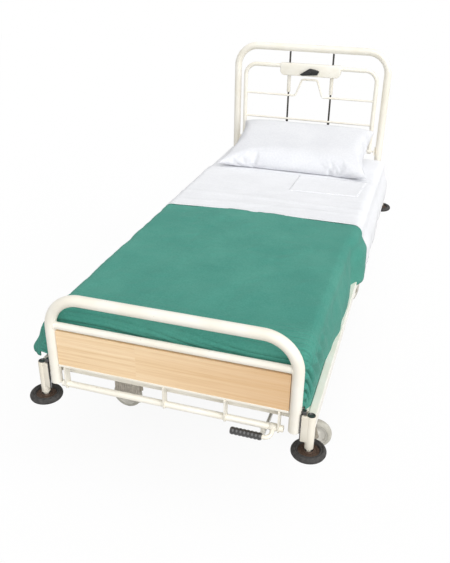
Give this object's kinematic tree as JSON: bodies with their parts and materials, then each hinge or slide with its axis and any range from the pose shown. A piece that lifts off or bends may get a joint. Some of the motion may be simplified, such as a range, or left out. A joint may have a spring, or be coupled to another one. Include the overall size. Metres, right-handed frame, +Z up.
{
  "type": "hospital bed",
  "caption": "Variable-height hospital ward bed with bent tube ends, oak-faced foot panel, tilting backrest, bumper rollers, castors and made-up bedding.",
  "frame": {"origin": "on the floor under the middle of the bed", "axes": "+X to the right seen from the foot end, +Y from foot to head, +Z up"},
  "size_m": [1.027, 2.312, 1.317],
  "materials": {
    "cream_paint": "semi-gloss cream stove enamel on steel tube",
    "grey_paint": "satin light grey paint on steel",
    "oak_laminate": "satin pale oak laminate board",
    "black_rubber": "matt moulded black rubber",
    "grey_tyre": "matt grey non-marking rubber tread",
    "pale_plastic": "moulded pale grey nylon wheel centre",
    "black_plastic": "moulded black plastic",
    "dark_steel": "drawn dark steel rod",
    "zinc_steel": "zinc plated steel",
    "mattress_ticking": "woven cotton ticking over foam",
    "white_cotton": "plain woven white cotton",
    "green_blanket": "teal green brushed cotton blanket"
  },
  "bodies": {
    "base": {"base_frame": "grey_paint", "column_outer_foot": "grey_paint", "column_outer_head": "grey_paint"},
    "bed_frame": {"column_inner_foot": "zinc_steel", "column_inner_head": "zinc_steel", "side_rail_left": "cream_paint", "side_rail_right": "cream_paint", "cross_rail_foot": "cream_paint", "cross_rail_column_foot": "cream_paint", "cross_rail_column_head": "cream_paint", "cross_rail_head": "cream_paint", "mattress_deck": "grey_paint", "foot_loop": "cream_paint", "foot_mid_rail": "cream_paint", "foot_panel": "oak_laminate", "panel_strip": "cream_paint", "pump_unit": "grey_paint", "head_loop": "cream_paint", "backrest_pivot_left": "cream_paint", "backrest_pivot_right": "cream_paint", "mattress": "mattress_ticking", "bottom_sheet": "white_cotton", "top_sheet": "white_cotton", "blanket": "green_blanket", "pillow": "white_cotton", "lever_hanger_1": "cream_paint", "lever_hanger_2": "cream_paint", "lever_hanger_3": "cream_paint", "lever_hanger_4": "cream_paint", "corner_post_foot_left": "cream_paint", "corner_post_head_left": "cream_paint", "corner_post_foot_right": "cream_paint", "corner_post_head_right": "cream_paint"},
    "castor_foot_left": {"castor_fork_foot_left": "zinc_steel"},
    "wheel_foot_left": {"castor_tyre_foot_left": "grey_tyre", "castor_hub_foot_left": "pale_plastic"},
    "bumper_foot_left": {"bumper_roller_foot_left": "black_rubber"},
    "castor_head_left": {"castor_fork_head_left": "zinc_steel"},
    "wheel_head_left": {"castor_tyre_head_left": "grey_tyre", "castor_hub_head_left": "pale_plastic"},
    "bumper_head_left": {"bumper_roller_head_left": "black_rubber"},
    "castor_foot_right": {"castor_fork_foot_right": "zinc_steel"},
    "wheel_foot_right": {"castor_tyre_foot_right": "grey_tyre", "castor_hub_foot_right": "pale_plastic"},
    "bumper_foot_right": {"bumper_roller_foot_right": "black_rubber"},
    "castor_head_right": {"castor_fork_head_right": "zinc_steel"},
    "wheel_head_right": {"castor_tyre_head_right": "grey_tyre", "castor_hub_head_right": "pale_plastic"},
    "bumper_head_right": {"bumper_roller_head_right": "black_rubber"},
    "pump_lever": {"lever_tube": "cream_paint", "lever_grip": "black_rubber"},
    "push_rod": {"pump_push_rod": "zinc_steel"},
    "backrest": {"backrest_loop": "cream_paint", "backrest_lower_bar": "cream_paint", "backrest_raised_bar": "cream_paint", "lock_housing": "cream_paint"},
    "release_handle": {"release_handle": "black_plastic"},
    "lock_rod_left": {"lock_rod_left": "dark_steel"},
    "lock_rod_right": {"lock_rod_right": "dark_steel"}
  },
  "joints": [
    {"name": "height_lift", "type": "slide", "parent": "base", "child": "bed_frame", "axis": [0, 0, 1], "range_m": [-0.18, 0]},
    {"name": "castor_swivel_foot_left", "type": "hinge", "parent": "base", "child": "castor_foot_left", "pos_m": [-0.374, -0.578, 0.146], "axis": [0, 0, 1], "continuous": true},
    {"name": "wheel_spin_foot_left", "type": "hinge", "parent": "castor_foot_left", "child": "wheel_foot_left", "pos_m": [-0.412, -0.578, 0.0635], "axis": [0, -1, 0], "continuous": true},
    {"name": "bumper_spin_foot_left", "type": "hinge", "parent": "bed_frame", "child": "bumper_foot_left", "pos_m": [-0.4575, -1.1, 0.4235], "axis": [0, 0, 1], "continuous": true},
    {"name": "castor_swivel_head_left", "type": "hinge", "parent": "base", "child": "castor_head_left", "pos_m": [-0.374, 0.662, 0.146], "axis": [0, 0, 1], "continuous": true},
    {"name": "wheel_spin_head_left", "type": "hinge", "parent": "castor_head_left", "child": "wheel_head_left", "pos_m": [-0.38511, 0.69834, 0.0635], "axis": [-0.9563, -0.2924, 0], "continuous": true},
    {"name": "bumper_spin_head_left", "type": "hinge", "parent": "bed_frame", "child": "bumper_head_left", "pos_m": [-0.4575, 1.1, 0.4235], "axis": [0, 0, 1], "continuous": true},
    {"name": "castor_swivel_foot_right", "type": "hinge", "parent": "base", "child": "castor_foot_right", "pos_m": [0.374, -0.578, 0.146], "axis": [0, 0, 1], "continuous": true},
    {"name": "wheel_spin_foot_right", "type": "hinge", "parent": "castor_foot_right", "child": "wheel_foot_right", "pos_m": [0.412, -0.578, 0.0635], "axis": [0, 1, 0], "continuous": true},
    {"name": "bumper_spin_foot_right", "type": "hinge", "parent": "bed_frame", "child": "bumper_foot_right", "pos_m": [0.4575, -1.1, 0.4235], "axis": [0, 0, 1], "continuous": true},
    {"name": "castor_swivel_head_right", "type": "hinge", "parent": "base", "child": "castor_head_right", "pos_m": [0.374, 0.662, 0.146], "axis": [0, 0, 1], "continuous": true},
    {"name": "wheel_spin_head_right", "type": "hinge", "parent": "castor_head_right", "child": "wheel_head_right", "pos_m": [0.38511, 0.69834, 0.0635], "axis": [-0.9563, 0.2924, 0], "continuous": true},
    {"name": "bumper_spin_head_right", "type": "hinge", "parent": "bed_frame", "child": "bumper_head_right", "pos_m": [0.4575, 1.1, 0.4235], "axis": [0, 0, 1], "continuous": true},
    {"name": "lever_press", "type": "hinge", "parent": "bed_frame", "child": "pump_lever", "pos_m": [0, -1.1, 0.487], "axis": [1, 0, 0], "range_deg": [0, 25], "stiffness_Nm_per_rad": 6, "springref_deg": -34.38},
    {"name": "push_rod_slide", "type": "slide", "parent": "bed_frame", "child": "push_rod", "axis": [0, 1, 0], "range_m": [0, 0.023]},
    {"name": "backrest_tilt", "type": "hinge", "parent": "bed_frame", "child": "backrest", "pos_m": [0, 1.012, 0.775], "axis": [1, 0, 0], "range_deg": [0, 40], "deforming": ["pillow"]},
    {"name": "handle_turn", "type": "hinge", "parent": "backrest", "child": "release_handle", "pos_m": [0, 0.992, 1.181], "axis": [0, 1, 0], "range_deg": [0, 40]},
    {"name": "lock_rod_slide_left", "type": "slide", "parent": "backrest", "child": "lock_rod_left", "axis": [0, 0, 1], "range_m": [-0.0145, 0]},
    {"name": "lock_rod_slide_right", "type": "slide", "parent": "backrest", "child": "lock_rod_right", "axis": [0, 0, 1], "range_m": [-0.0145, 0]}
  ],
  "couplings": [
    {"joint": "push_rod_slide", "follows": "lever_press", "m_per_rad": 0.052},
    {"joint": "lock_rod_slide_left", "follows": "handle_turn", "m_per_rad": -0.02},
    {"joint": "lock_rod_slide_right", "follows": "handle_turn", "m_per_rad": -0.02}
  ]
}
